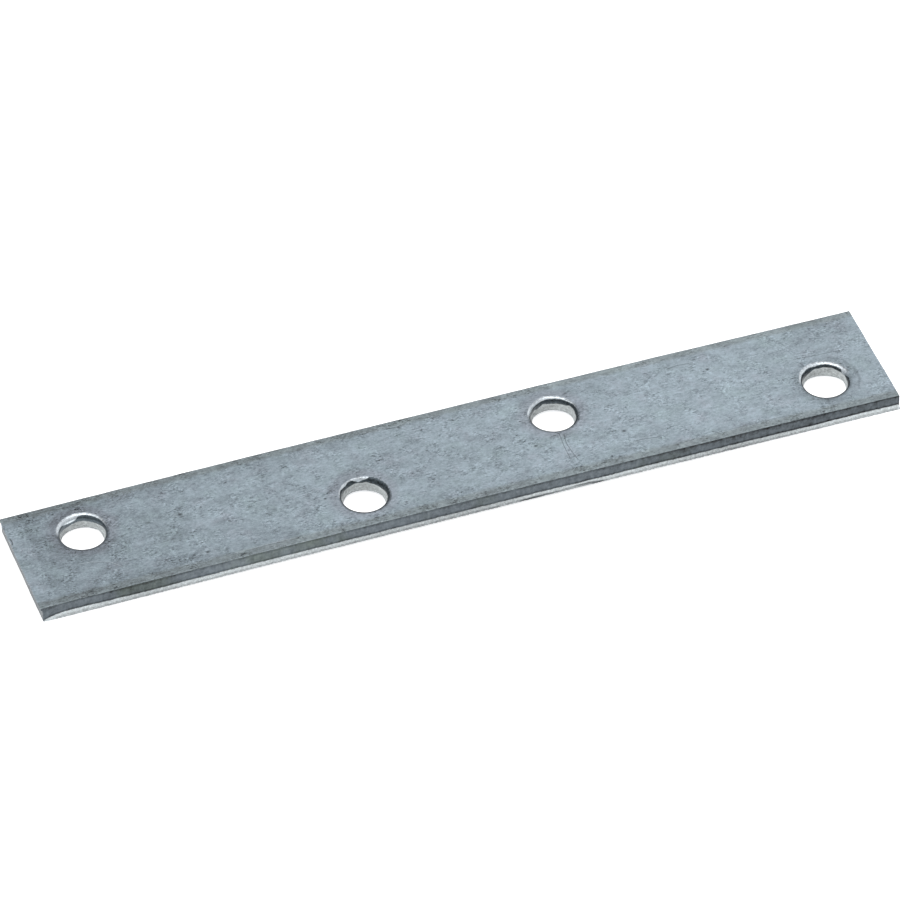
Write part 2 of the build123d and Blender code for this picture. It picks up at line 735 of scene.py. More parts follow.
@dataclass
class PiercedHoles:
    """The screw holes' walls, all grown by one Geometry Nodes tree, each with its own tear and seed."""

    thickness: float
    columns: int = 180
    rows: int = 30
    roll_width: float = 0.55 * MM
    roll_depth: float = 0.65 * MM
    widening: float = 0.15 * MM
    tear_depth: float = 0.05 * MM
    shaded_side: float = math.radians(268)  # middle of the side where the drawn-in mouth is painted in shade instead of with the lip's painted highlight
    roll_share: float = 0.42  # of the rows
    line_sway: float = 0.1 * MM  # of the lip's and the land's ends
    mouth_sway: float = 0.08 * MM
    weld: float = 0.001 * MM

    LINES = ("lip", "land", "flare", "foot")  # the tear's lines, which the flat sheet's points carry
    KEPT = ("wall", "torn", "polish", "shade", "side")  # what the finish reads from the grown wall
    SEED_STEP = 7.31  # how far apart the holes' noises are read

    INPUTS = {
        "Wall sheet": "NodeSocketGeometry",
        "Centre": "NodeSocketVector",
        "Bore radius": "NodeSocketFloat",
        "Roll width": "NodeSocketFloat",
        "Roll depth": "NodeSocketFloat",
        "Widening": "NodeSocketFloat",
        "Sheet thickness": "NodeSocketFloat",
        "Tear depth": "NodeSocketFloat",
        "Shaded side": "NodeSocketFloat",
        "Seed": "NodeSocketFloat",
        "Finish": "NodeSocketMaterial",
    }

    def tree(self) -> bpy.types.GeometryNodeTree:
        """Build the tree that bends a flat sheet into one hole's wall.

        Returns:
            The tree, with a named input for each size.
        """
        tree = bpy.data.node_groups.new("Pierced wall", "GeometryNodeTree")
        face = tree.interface
        face.new_socket("Geometry", in_out="OUTPUT", socket_type="NodeSocketGeometry")
        for name, kind in self.INPUTS.items():
            face.new_socket(name, in_out="INPUT", socket_type=kind)
        bench = Bench(tree)
        asked = tree.nodes.new("NodeGroupInput")
        size = {name: Term(bench, asked.outputs[name]) for name in self.INPUTS}
        spot, values = self._bend(bench, size)
        sheet = size["Wall sheet"]
        for name, value in values.items():
            sheet = bench.add(
                "GeometryNodeStoreNamedAttribute",
                {"data_type": "FLOAT", "domain": "POINT"},
                {"Geometry": sheet, "Name": name, "Value": value},
            )
        moved = bench.add("GeometryNodeSetPosition", None, {"Geometry": sheet, "Position": spot})
        closed = bench.add("GeometryNodeMergeByDistance", None, {"Geometry": moved, "Distance": self.weld})
        real = bench.add("GeometryNodeRealizeInstances", None, {"Geometry": closed})
        dressed = bench.add("GeometryNodeSetMaterial", None, {"Geometry": real, "Material": size["Finish"]})
        tree.links.new(dressed.socket, tree.nodes.new("NodeGroupOutput").inputs["Geometry"])
        return tree

    def _bend(self, bench: Bench, size: dict[str, Term]) -> tuple[Term, dict[str, Term]]:
        """Work out where the flat sheet's points go.

        Args:
            bench: The tree.
            size: The tree's named inputs.

        Returns:
            Each point's place on the wall, and the values that it carries.
        """
        place = bench.add("GeometryNodeInputPosition")
        across, down = bench.part(place, "X"), bench.part(place, "Y")
        lip, land, flare, foot = (
            bench.add("GeometryNodeInputNamedAttribute", {"data_type": "FLOAT"}, {"Name": name}, "Attribute")
            for name in self.LINES
        )
        angle = across * math.tau
        east, north = angle.cosine(), angle.sine()
        in_roll = (down / self.roll_share).at_most(1.0)
        past_roll = ((down - self.roll_share) / (1.0 - self.roll_share)).at_least(0.0)
        depth = size["Roll depth"] * in_roll * in_roll
        depth = depth + (size["Sheet thickness"] - size["Roll depth"]) * past_roll

        shift = size["Seed"] * self.SEED_STEP
        ring = bench.add("ShaderNodeCombineXYZ", None, {"X": east, "Y": north, "Z": shift})
        quick = bench.stray(ring, 5.5, 3.0, 0.65)
        land_end = land + quick * self.line_sway
        lip_end = lip + quick * -self.line_sway * lip.ramp(0.02 * MM, 0.1 * MM)
        travel = (depth - land_end) / (size["Sheet thickness"] - land_end)
        travel = travel.at_least(0.0).at_most(1.0)

        high = bench.add(
            "ShaderNodeCombineXYZ",
            None,
            {"X": east * 2.6, "Y": north * 2.6, "Z": depth / MM + shift},
        )
        rough = bench.stray(high, 2.4, 4.0, 0.65)
        open_roll = (1.0 - in_roll) * (1.0 - in_roll) * (size["Roll width"] + flare)
        sway = bench.stray(ring, 1.6) * self.mouth_sway * (1.0 - in_roll)
        radius = size["Bore radius"] + open_roll + sway + (size["Widening"] + foot) * travel
        radius = radius + size["Tear depth"] * travel.ramp(0.0, 0.18) * (rough * 2.0 + 0.3)

        point = bench.add(
            "ShaderNodeCombineXYZ",
            None,
            {"X": east * radius, "Y": north * radius, "Z": size["Sheet thickness"] - depth},
        )
        values = {
            "wall": in_roll,
            "torn": (depth - land_end) / MM,
            "polish": (lip_end - depth) / MM,
            "depth": depth / MM,
            # how much the mouth is painted in shade instead of with the lip's painted highlight, by its side
            # round the hole
            "shade": (angle - size["Shaded side"]).cosine().ramp(-0.4, 0.05),
            "side": east,
        }
        return bench.moved(point, size["Centre"]), values

    def flat_sheet(self, tear: Tear) -> bpy.types.Mesh:
        """Lay out one hole's wall as a flat sheet, across from 0 to 1 round the hole and down from 0 to 1.

        Args:
            tear: The hole's tear, which the sheet's points carry.

        Returns:
            The sheet.
        """
        columns = self.columns + 1
        across = np.repeat(np.linspace(0, 1, columns), self.rows)
        down = np.tile(np.linspace(0, 1, self.rows), columns)
        sheet = bpy.data.meshes.new("wall_sheet")
        sheet.from_pydata(np.stack([across, down, 0 * down], -1).tolist(), [], grid_faces(columns, self.rows))
        for name in self.LINES:
            values = Tear.at(getattr(tear, name), across * 360)
            sheet.attributes.new(name, "FLOAT", "POINT").data.foreach_set("value", values)
        return sheet

    def wall(
        self,
        tree: bpy.types.GeometryNodeTree,
        centre: Point,
        radius: float,
        tear: Tear,
        seed: int,
        finish: bpy.types.Material,
    ) -> bpy.types.Mesh:
        """Grow one hole's wall.

        Args:
            tree: The tree from tree().
            centre: The hole's axis in plan.
            radius: The radius of its burnished land.
            tear: The marks of its punch stroke.
            seed: What makes its grain unlike the others'.
            finish: Its material.

        Returns:
            A plain mesh, open at the top and the bottom.
        """
        holder = shown("pierced_wall", self.flat_sheet(tear))
        modifier = holder.modifiers.new("Pierced wall", "NODES")
        modifier.node_group = tree
        wanted = {
            "Centre": (centre[0] + tear.drift[0] * MM, centre[1] + tear.drift[1] * MM, 0.0),
            "Bore radius": radius,
            "Roll width": self.roll_width,
            "Roll depth": self.roll_depth,
            "Widening": self.widening,
            "Sheet thickness": self.thickness,
            "Tear depth": self.tear_depth,
            "Shaded side": self.shaded_side,
            "Seed": float(seed),
            "Finish": finish,
        }
        for item in tree.interface.items_tree:
            if item.name in wanted:
                modifier[item.identifier] = wanted[item.name]
        graph = bpy.context.evaluated_depsgraph_get()
        grown = bpy.data.meshes.new_from_object(holder.evaluated_get(graph))
        holder.modifiers.remove(modifier)
        bpy.data.objects.remove(holder)
        return grown


def bell(far: np.ndarray, middle: float, width: float) -> np.ndarray:
    """A bell curve over a distance.

    Args:
        far: The distance.
        middle: Where the curve is highest.
        width: How far from there it falls to about a third.

    Returns:
        Values from 0 to 1.
    """
    return np.exp(-(((far - middle) / width) ** 2))


@dataclass(frozen=True)
class Dent:
    """A small round pit in the top face."""

    centre: Point
    radius: float
    depth: float = 0.03 * MM

    STRETCH = 0.8  # a pit is a little longer than wide
    RINGS = ((0.0, 1), (0.4, 6), (0.8, 9), (1.2, 12), (1.8, 12))  # share of the radius, and how many points

    def profile(self, x: np.ndarray, y: np.ndarray) -> tuple[np.ndarray, np.ndarray]:
        """Tell where each point lies across the pit.

        Args:
            x: The points' first coordinates.
            y: Their second coordinates.

        Returns:
            How much each lies in the pit, and how much on its raised lip.
        """
        far = np.hypot((x - self.centre[0]) * self.STRETCH, y - self.centre[1]) / self.radius
        return bell(far, 0.0, 0.75), bell(far, 1.25, 0.3)

    def guides(self) -> list[Point]:
        """Lay out the points that the face needs so that it can follow the pit.

        Returns:
            The points.
        """
        return [
            (
                self.centre[0] + self.radius * share * math.cos(math.tau * step / count),
                self.centre[1] + self.radius * share * math.sin(math.tau * step / count),
            )
            for share, count in self.RINGS
            for step in range(count)
        ]


@dataclass(frozen=True)
class Scratch:
    """A drawn line in the top face, with raised lips."""

    path: tuple[Point, ...]
    width: float
    depth: float = 0.02 * MM
    strength: float = 1.0

    GUIDE_PITCH = 0.16 * MM
    GUIDE_ROWS = (-2.0, -1.2, -0.6, 0.0, 0.6, 1.2, 2.0)  # of the width

    def legs(self) -> list[tuple[Point, Point, float]]:
        """List the path's straight legs.

        Returns:
            Each leg's start, its direction and its length.
        """
        found = []
        for (x0, y0), (x1, y1) in zip(self.path, self.path[1:]):
            found.append(((x0, y0), (x1 - x0, y1 - y0), math.hypot(x1 - x0, y1 - y0)))
        return found

    def profile(self, x: np.ndarray, y: np.ndarray) -> tuple[np.ndarray, np.ndarray]:
        """Tell where each point lies across the scratch.

        Args:
            x: The points' first coordinates.
            y: Their second coordinates.

        Returns:
            How much each lies in the scratch, and how much on its raised lips.
        """
        nearest = np.full(x.shape, 1.0)
        for (x0, y0), (run, rise), length in self.legs():
            along = np.clip(((x - x0) * run + (y - y0) * rise) / length**2, 0, 1)
            nearest = np.minimum(nearest, np.hypot(x - x0 - along * run, y - y0 - along * rise))
        far = nearest / self.width
        return self.strength * bell(far, 0.0, 0.6), self.strength * bell(far, 1.2, 0.4)

    def guides(self) -> list[Point]:
        """Lay out the points that the face needs so that it can follow the scratch.

        Returns:
            The points.
        """
        points: list[Point] = []
        for (x0, y0), (run, rise), length in self.legs():
            side = (-rise / length, run / length)
            steps = max(2, round(length / self.GUIDE_PITCH))
            for step in range(steps + 1):
                share = step / steps
                for row in self.GUIDE_ROWS:
                    reach = row * self.width
                    points.append((x0 + share * run + side[0] * reach, y0 + share * rise + side[1] * reach))
        return points


def dent(x: float, y: float, radius: float) -> Dent:
    """A pit with its place and radius in millimetres."""
    return Dent((x * MM, y * MM), radius * MM)


def scratch(*path: Point, width: float = 0.07, strength: float = 1.0) -> Scratch:
    """A scratch with its path and width in millimetres; a strength below 0 leaves a pale rub."""
    return Scratch(tuple((x * MM, y * MM) for x, y in path), width * MM, strength=strength)


def handling_marks() -> list[Dent | Scratch]:
    """Set down what handling left.

    Returns:
        The pits and scratches of the top face, from left to right.
    """
    return [
        scratch((-49.75, 3.9), (-49.7, 3.5), (-49.78, 3.1), width=0.13),
        scratch((-44.0, -2.3), (-42.4, -2.5), (-40.6, -3.2), (-39.6, -4.4), strength=-0.6),
        scratch((-43.4, -3.2), (-41.6, -3.6), (-40.4, -4.6), strength=-0.4),
        scratch((-35.8, -2.1), (-34.4, -2.2), (-33.2, -2.1), width=0.06, strength=0.7),
        scratch((-33.6, -2.5), (-32.6, -2.6), width=0.06, strength=0.6),
        dent(-31.2, 1.3, 0.28),
        dent(-28.7, 1.6, 0.14),
        dent(-30.2, -5.3, 0.27),
        dent(-30.3, -3.7, 0.15),
        scratch((-27.5, -6.5), (-23.5, -6.45), (-20.2, -6.5), width=0.08, strength=-0.6),
        dent(-15.5, -1.8, 0.2),
        dent(-7.3, -5.3, 0.17),
        scratch((-5.4, 6.4), (-4.4, 6.3), (-3.8, 6.45), width=0.12, strength=0.9),
        dent(-4.1, 6.2, 0.2),
        dent(1.9, 5.3, 0.18),
        dent(8.8, 2.6, 0.15),
        dent(9.1, -1.7, 0.22),
        scratch((12.2, -0.7), (12.0, -2.8), (11.95, -4.8), width=0.09, strength=0.7),
        scratch((12.65, -1.0), (12.4, -2.4), (12.5, -3.9), (12.7, -5.3), width=0.09, strength=0.7),
        scratch((18.6, 1.7), (19.5, 1.65), width=0.1, strength=0.7),
        dent(19.1, -2.7, 0.26),
        scratch((19.5, -4.6), (21.0, -4.7), (22.4, -4.9), width=0.12, strength=0.6),
        scratch((27.4, 5.2), (28.6, 5.3), (30.2, 5.2), width=0.12, strength=0.6),
        dent(31.4, 3.6, 0.24),
        scratch((30.2, -6.4), (33.4, -6.35), (36.6, -6.4), width=0.07, strength=0.5),
        scratch((41.2, 1.9), (43.0, 1.8), (45.4, 1.7), width=0.08, strength=0.7),
        scratch((42.0, 2.6), (44.0, 2.5), (46.2, 2.4), width=0.06, strength=0.5),
        scratch((44.7, 1.0), (46.1, 0.2), (46.9, -1.4), (46.9, -3.2), (46.2, -4.8), width=0.24, strength=0.3),
    ]


@dataclass
class MendingPlate:
    """The plate: a slit strip with pierced holes and cropped ends."""

    low: Vector
    high: Vector
    holes: list[tuple[Point, float]]
    long_wall: ShearedWall = ShearedWall()
    right_wall: ShearedWall = ShearedWall(roll_width=0.06 * MM, lean=0.12 * MM)
    left_wall: ShearedWall = ShearedWall(
        stroke=Stroke.FROM_BELOW, land_depth=1.2 * MM, lean=0.3 * MM, overhang=0.02 * MM
    )
    crown: float = 0.28 * MM
    column_pitch: float = 0.16 * MM
    face_pitch: float = 0.5 * MM
    marks: list[Dent | Scratch] = field(default_factory=handling_marks)
    tears: list[Tear] = field(default_factory=stroke_marks)

    land_wander: tuple[Wander, ...] = (
        Wander(3 * MM, 0.03 * MM, 4 * MM, 3),
        Wander(9 * MM, 0.03 * MM, 0.7 * MM, 2),
    )
    edge_sway: tuple[Wander, ...] = (
        Wander(MM, 0.02 * MM, 2.4 * MM, 3),
        Wander(2 * MM, 0.03 * MM, 13 * MM),
    )
    end_wander: Wander = Wander(4 * MM, 0.12 * MM, 3 * MM, 3)
    end_sway: Wander = Wander(MM, 0.04 * MM, 2 * MM, 3)
    grit: float = 0.03 * MM
    grit_pitch: float = 0.35 * MM
    grit_row: float = 5 * MM  # which row of the noise it reads
    grit_onset: float = 0.15 * MM  # how far past the land's end the torn wall is fully rough
    short_land: Point = (0.1 * MM, 0.06 * MM)  # how much sooner the land ends by the left and right ends
    short_land_from: float = 40.0  # millimetres from the middle where that starts
    short_land_over: float = 4.0  # millimetres over which it grows
    run_out_length: float = 2.8 * MM  # over which the land takes up the whole wall at the left corner
    run_out_power: float = 1.8
    run_out_inset: float = 0.1 * MM
    sway_depth: float = 2.2  # how far down an edge's sway reaches, in depths of its roll
    corner_window: float = 12.0  # an end wall wanders fully at one part in this many from its corners
    nick_place: float = 3.5 * MM  # of the bite out of the left end's top corner
    nick_width: float = 0.35 * MM
    nick_height: float = 0.6 * MM
    nick_depth: float = 0.06 * MM
    crack_depth: float = 0.03 * MM
    crack_line: tuple[Point, ...] = ((5, 1.9), (9, 1.82), (12.3, 1.73), (13.4, 1.76), (14.9, 1.96))
    crack_width: tuple[Point, ...] = ((5, 0.08), (6, 0.12), (8, 0.06), (12, 0.06), (13.4, 0.1), (14.9, 0.14))
    lip_share: float = 0.35  # how strong a mark's raised lip is beside its groove
    rim_guides: tuple[float, ...] = (0.04 * MM, 0.14 * MM, 0.32 * MM)  # rings of points beside each rim
    guide_gap: float = 0.02 * MM

    SEED = 21
    JITTER_SEED = 5
    JITTER = 0.12  # of the face's pitch
    STAGGER = 0.25  # of the face's pitch, between one column of points and the next
    BY_SIDE = 1.0 * MM  # how close to a side the outline's points belong to it
    SAME_SPOT = 1e-7
    TOP_SLACK, BOTTOM_SLACK = 1e-5, 1e-4  # millimetres, within which a wall's point lies on a rim

    @property
    def thickness(self) -> float:
        """The sheet's thickness."""
        return self.high.z - self.low.z

    def depths(self) -> np.ndarray:
        """Space the walls' rows.

        Returns:
            Their depths below the top face, close together where either face's corner is rolled.
        """
        roll = self.long_wall.roll_depth
        bend = roll * np.linspace(0, 1, 8) ** 2
        middle = np.linspace(roll, self.thickness - roll, 13)[1:-1]
        return np.concatenate([bend, middle, (self.thickness - bend)[::-1]])

    def columns(self, length: float) -> np.ndarray:
        """Space a wall's columns.

        Args:
            length: The wall's length.

        Returns:
            Their places, from 0 to 1, as a column.
        """
        return np.linspace(0, 1, round(length / self.column_pitch) + 1)[:, None]

    def long_side(self, side: int, noise: LatticeNoise) -> tuple[np.ndarray, np.ndarray, np.ndarray]:
        """Build one long wall.

        Args:
            side: -1 for the near wall, 1 for the far one.
            noise: What makes its edge wander.

        Returns:
            Points by column and row, how much each is wall, and millimetres past the land's end.
        """
        depth = self.depths()[None, :]
        share = self.columns(self.high.x - self.low.x)
        thickness = self.thickness
        at_left, at_right = (
            wall.inset(wall.entered(depth, thickness), np.full(depth.shape, wall.land_depth), thickness)
            for wall in (self.left_wall, self.right_wall)
        )
        x = (self.low.x + at_left) * (1 - share) + (self.high.x - at_right) * share
        land = self.long_wall.land_depth
        for wander in self.land_wander:
            land = land + wander.along(noise, x, side)
        land = land - np.where(x < 0, *self.short_land) * self._by_ends(x)
        run_out = np.clip(1 - (x - self.low.x) / self.run_out_length, 0, 1) ** self.run_out_power
        land = land + (thickness - land) * run_out
        inset = self.long_wall.inset(depth, land, thickness)
        inset = inset + self.run_out_inset * run_out * np.clip(depth / thickness * 3 - 2, 0, 1)
        past = np.clip((depth - land) / self.grit_onset, 0, 1)
        inset = inset + self.grit * past * noise.at(x, depth + self.grit_row * side, self.grit_pitch, 2)
        sway = sum(wander.along(noise, x, side) for wander in self.edge_sway)
        inset = inset + sway * np.clip(1 - depth / (self.sway_depth * self.long_wall.roll_depth), 0, 1)
        y = side * (self.high.y - inset)
        z = self.high.z - depth + 0 * x
        points = np.stack([x + 0 * y, y + 0 * x, z], -1)
        wall = np.clip(depth / self.long_wall.roll_depth, 0, 1) ** 0.5 + 0 * x
        return points, wall, (depth - land) / MM

    def _by_ends(self, x: np.ndarray) -> np.ndarray:
        """How near points are to the plate's ends: 0 along most of it and 1 beside them."""
        return np.clip((np.abs(x) / MM - self.short_land_from) / self.short_land_over, 0, 1)

    def burr_crack(self, points: np.ndarray) -> np.ndarray:
        """Tell where the near wall's burr split off.

        Args:
            points: The wall's points by column and row.

        Returns:
            1 in the crack and 0 away from it.
        """
        x, depth = points[..., 0] / MM, (self.high.z - points[..., 2]) / MM
        line, width = (np.interp(x, *zip(*knots)) for knots in (self.crack_line, self.crack_width))
        first, last = self.crack_line[0][0] - 0.2, self.crack_line[-1][0] + 0.2
        return bell(depth, line, width) * np.clip((x - first) / 0.8, 0, 1) * np.clip((last - x) / 0.3, 0, 1)

    def end_side(
        self, wall: ShearedWall, near: np.ndarray, far: np.ndarray, noise: LatticeNoise
    ) -> tuple[np.ndarray, np.ndarray, np.ndarray]:
        """Build one end wall between the long walls' corner lines.

        Args:
            wall: The end's section.
            near: The near wall's corner line, by row.
            far: The far wall's corner line, by row.
            noise: What makes its edge wander.

        Returns:
            Points by column and row, how much each is wall, and millimetres past the land's end.
        """
        depth = self.depths()[None, :]
        share = self.columns(self.high.y - self.low.y)
        points = near[None] * (1 - share[..., None]) + far[None] * share[..., None]
        y = points[..., 1]
        travel = wall.entered(depth, self.thickness)
        window = np.clip(np.minimum(share, 1 - share) * self.corner_window, 0, 1)
        land = wall.land_depth + self.end_wander.along(noise, y) * window
        past = np.clip((travel - land) / self.grit_onset, 0, 1)
        outward = 1 if near[0, 0] > 0 else -1
        rough = self.grit * past * noise.at(y, depth, self.grit_pitch, 2)
        sway = self.end_sway.along(noise, y) * np.clip(1 - travel / (2 * wall.roll_depth), 0, 1)
        points[..., 0] -= outward * window * (rough + sway)
        from_above = wall.stroke is Stroke.FROM_ABOVE
        if not from_above:
            bite = np.exp(-(((y - self.nick_place) / self.nick_width) ** 4))
            points[..., 0] += self.nick_depth * bite * np.clip(1 - depth / self.nick_height, 0, 1)
        rise = np.clip(depth / (wall.roll_depth if from_above else wall.burr_break), 0, 1) ** 0.5 + 0 * y
        return points, rise, (travel - land) / MM + 0 * y

    def relief(self, x: np.ndarray, y: np.ndarray) -> np.ndarray:
        """Model the handling marks.

        Args:
            x: First coordinates of points of the top face.
            y: Their second coordinates.

        Returns:
            The points' heights.
        """
        total = np.zeros(x.shape)
        for mark in self.marks:
            groove, lip = mark.profile(x, y)
            total = total - mark.depth * np.abs(groove) + self.lip_share * mark.depth * np.abs(lip)
        return total

    def darkness(self, x: np.ndarray, y: np.ndarray) -> np.ndarray:
        """Tell how dark the handling marks are.

        Args:
            x: First coordinates of points of the top face.
            y: Their second coordinates.

        Returns:
            Values from 0 to 1, and below 0 where a mark is pale.
        """
        total = np.zeros(x.shape)
        for mark in self.marks:
            groove, lip = mark.profile(x, y)
            total = total + groove - self.lip_share * lip
        return np.clip(total, -1, 1)

    def _jittered_grid(self, pitch: float) -> list[Point]:
        """Scatter points evenly over the face.

        Args:
            pitch: The distance between them.

        Returns:
            The points.
        """
        rng = np.random.default_rng(self.JITTER_SEED)
        points: list[Point] = []
        xs = np.arange(self.low.x + 0.7 * pitch, self.high.x - 0.5 * pitch, pitch)
        ys = np.arange(self.low.y + 0.9 * pitch, self.high.y - 0.5 * pitch, pitch)
        for index, x in enumerate(xs):
            for y in ys + (self.STAGGER * pitch if index % 2 else -self.STAGGER * pitch):
                push = rng.uniform(-self.JITTER, self.JITTER, 2) * pitch
                points.append((x + push[0], y + push[1]))
        return points

    def _rings(self, outline: np.ndarray, rims: list[np.ndarray]) -> list[Point]:
        """Lay rings of points beside the rims, so that no long thin face starts there.

        Args:
            outline: The outer rim's points, in order.
            rims: Each hole's rim, in order.

        Returns:
            The points, from the outer rim's rings to the last hole's.
        """
        points: list[Point] = []
        for rim in [outline, *rims]:
            plan = rim[:, :2]
            for push in self.rim_guides:
                if rim is outline:
                    ring = plan.copy()
                    ring[:, 0] = np.clip(ring[:, 0], plan[:, 0].min() + push, plan[:, 0].max() - push)
                    by_side = np.abs(ring[:, 1]) > self.high.y - self.BY_SIDE
                    ring[:, 1] -= np.sign(ring[:, 1]) * push * by_side
                else:
                    arm = plan - plan.mean(0)
                    ring = plan.mean(0) + arm * (1 + push / np.linalg.norm(arm, axis=1, keepdims=True))
                every = 1 if push == self.rim_guides[0] else 2
                points.extend((float(p[0]), float(p[1])) for p in ring[::every])
        return points

    def face(self, shell: Shell, outline: np.ndarray, rims: list[np.ndarray], top: bool) -> None:
        """Fill the top or the bottom face between the walls' rims.

        Args:
            shell: What takes the faces.
            outline: The outer rim's points, in order.
            rims: Each hole's rim, in order.
            top: True for the top face, whose marks are modelled.
        """
        flat: list[Point] = []
        edges: list[tuple[int, int]] = []
        for rim in [outline, *rims]:
            first = len(flat)
            flat.extend((float(p[0]), float(p[1])) for p in rim)
            edges.extend((first + i, first + (i + 1) % len(rim)) for i in range(len(rim)))
        rim_count = len(flat)
        inner = self._jittered_grid(self.face_pitch if top else 2 * self.face_pitch)
        if top:
            for mark in self.marks:
                inner.extend(mark.guides())
        inner.extend(self._rings(outline, rims))
        kept = self._inside(np.array(inner), outline, rims)
        flat.extend((float(p[0]), float(p[1])) for p in kept)
        plan = [Vector(p) for p in flat]
        spots, _, triangles, sources, _, _ = delaunay_2d_cdt(plan, edges, [], 1, self.SAME_SPOT)
        x = np.array([p.x for p in spots])
        y = np.array([p.y for p in spots])
        corners = np.array(triangles)
        middles = np.stack([x[corners].mean(1), y[corners].mean(1)], -1)
        faces = corners[self._clear_of(middles, rims, 0.0)]
        on_rim = np.array([any(i < rim_count for i in source) for source in sources])
        z = np.full(len(spots), self.high.z if top else self.low.z)
        mark = np.zeros(len(spots))
        if top:
            z = z + np.where(on_rim, 0.0, self.relief(x, y))
            mark = self.darkness(x, y)
        away = np.full(len(spots), FAR_FROM_RIM)
        for centre, radius in self.holes:
            away = np.minimum(away, (np.hypot(x - centre[0], y - centre[1]) - radius) / MM)
        shell.take(np.stack([x, y, z], -1), faces, rim=away, mark=mark)

    @staticmethod
    def _clear_of(points: np.ndarray, rims: list[np.ndarray], gap: float) -> np.ndarray:
        """Tell which points lie outside every hole.

        Args:
            points: Points in plan.
            rims: The holes' rims.
            gap: How far outside they have to be.

        Returns:
            True for each point that is clear.
        """
        clear = np.ones(len(points), bool)
        for rim in rims:
            middle = rim[:, :2].mean(0)
            arm = rim[:, :2] - middle
            turn = np.arctan2(arm[:, 1], arm[:, 0])
            away = points - middle
            heading = np.arctan2(away[:, 1], away[:, 0])
            reach = np.interp(heading, turn, np.linalg.norm(arm, axis=1), period=math.tau)
            clear &= np.linalg.norm(away, axis=1) > reach + gap
        return clear

    def _inside(self, points: np.ndarray, outline: np.ndarray, rims: list[np.ndarray]) -> np.ndarray:
        """Keep the points that lie on the face and clear of its rims.

        Args:
            points: Candidate points in plan.
            outline: The outer rim.
            rims: The holes' rims.

        Returns:
            The points kept.
        """
        gap = self.guide_gap
        keep = (points[:, 0] > outline[:, 0].min() + gap) & (points[:, 0] < outline[:, 0].max() - gap)
        for run, cross, edge in ((0, 1, self.high.y), (1, 0, self.high.x)):
            for sign in (-1, 1):
                side = outline[np.sign(outline[:, cross]) == sign]
                side = side[np.abs(side[:, cross]) > edge - self.BY_SIDE]
                side = side[np.argsort(side[:, run])]
                limit = np.interp(points[:, run], side[:, run], np.abs(side[:, cross]))
                keep &= sign * points[:, cross] < limit - gap
        keep &= self._clear_of(points, rims, gap)
        return points[keep]

    def pierce(self, shell: Shell, material: bpy.types.Material) -> tuple[list[np.ndarray], list[np.ndarray]]:
        """Build the holes' walls.

        Args:
            shell: What takes the walls.
            material: The zinc finish.

        Returns:
            The holes' rims in the top face, and those in the bottom face.
        """
        pierced = PiercedHoles(self.thickness)
        tree = pierced.tree()
        top_rims: list[np.ndarray] = []
        bottom_rims: list[np.ndarray] = []
        for number, ((centre, radius), tear) in enumerate(zip(self.holes, self.tears), start=1):
            grown = pierced.wall(tree, centre, radius, tear, number, material)
            values = {}
            for key in (*pierced.KEPT, "depth"):
                values[key] = np.zeros(len(grown.vertices), np.float32)
                grown.attributes[key].data.foreach_get("value", values[key])
            depth = values.pop("depth")
            spots = places_of(grown).astype(float)
            spots[:, 2] += self.low.z
            walls = [p.vertices[:] for p in grown.polygons]
            shell.take(spots, walls, bore=np.float64(1.0), rim=np.float64(0.0), **values)
            turn = np.arctan2(spots[:, 1] - centre[1], spots[:, 0] - centre[0])
            on_bottom = depth > self.thickness / MM - self.BOTTOM_SLACK
            for rims, chosen in ((top_rims, depth < self.TOP_SLACK), (bottom_rims, on_bottom)):
                ids = np.flatnonzero(chosen)
                rims.append(spots[ids[np.argsort(turn[ids])]])
            bpy.data.meshes.remove(grown)
            log.info("hole %d: wall grown, radius %.2f mm", number, radius / MM)
        return top_rims, bottom_rims

    def build(self, material: bpy.types.Material) -> bpy.types.Object:
        """Build the plate.

        Args:
            material: The zinc finish.

        Returns:
            The finished object.
        """
        shell = Shell()
        noise = LatticeNoise(self.SEED)
        near, far = self.long_side(-1, noise), self.long_side(1, noise)
        left = self.end_side(self.left_wall, near[0][0], far[0][0], noise)
        right = self.end_side(self.right_wall, near[0][-1], far[0][-1], noise)
        for sheet in (near, far, left, right):
            points, wall, torn = sheet
            crack = self.burr_crack(points) if sheet is near else np.zeros(wall.shape)
            points[..., 1] += self.crack_depth * crack
            faces = grid_faces(*wall.shape)
            shell.take(points.reshape(-1, 3), faces, wall=wall.ravel(), torn=torn.ravel(), mark=crack.ravel())

        top_rims, bottom_rims = self.pierce(shell, material)
        for row, rims, top in ((0, top_rims, True), (-1, bottom_rims, False)):
            sides = (near[0][:-1, row], right[0][:-1, row], far[0][:0:-1, row], left[0][:0:-1, row])
            self.face(shell, np.concatenate(sides), rims, top)

        mesh = shell.mesh(PLATE_NAME)
        spots = places_of(mesh)
        spots[:, 2] += self.crown * np.maximum(1 - (spots[:, 0] / self.high.x) ** 2, 0)
        mesh.vertices.foreach_set("co", spots.ravel())
        mesh.update()
        mesh.materials.append(material)
        return shown(PLATE_NAME, mesh)


# --------------------------------------------------------------------------------------------------
# Finishes
# --------------------------------------------------------------------------------------------------


@dataclass(frozen=True)
class Grain:
    """One noise of a finish, read on a place in millimetres."""

    scale: float
    detail: float = 2.0
    roughness: float = 0.5
    stretch: Point3 | None = None  # finer along the larger numbers
    step: Point3 | None = None  # reads another place, so that two grains don't agree

    def read(self, ground: "Ground") -> Term:
        """Add the noise.

        Args:
            ground: Where it is read.

        Returns:
            The noise, about 0.5 on average.
        """
        place = ground.spot
        if self.step:
            place = ground.bench.moved(place, self.step)
        if self.stretch:
            place = ground.bench.stretched(place, self.stretch)
        return ground.bench.noise(place, self.scale, self.detail, self.roughness)

    def stray(self, ground: "Ground") -> Term:
        """The noise about zero."""
        return self.read(ground) - NOISE_MEAN


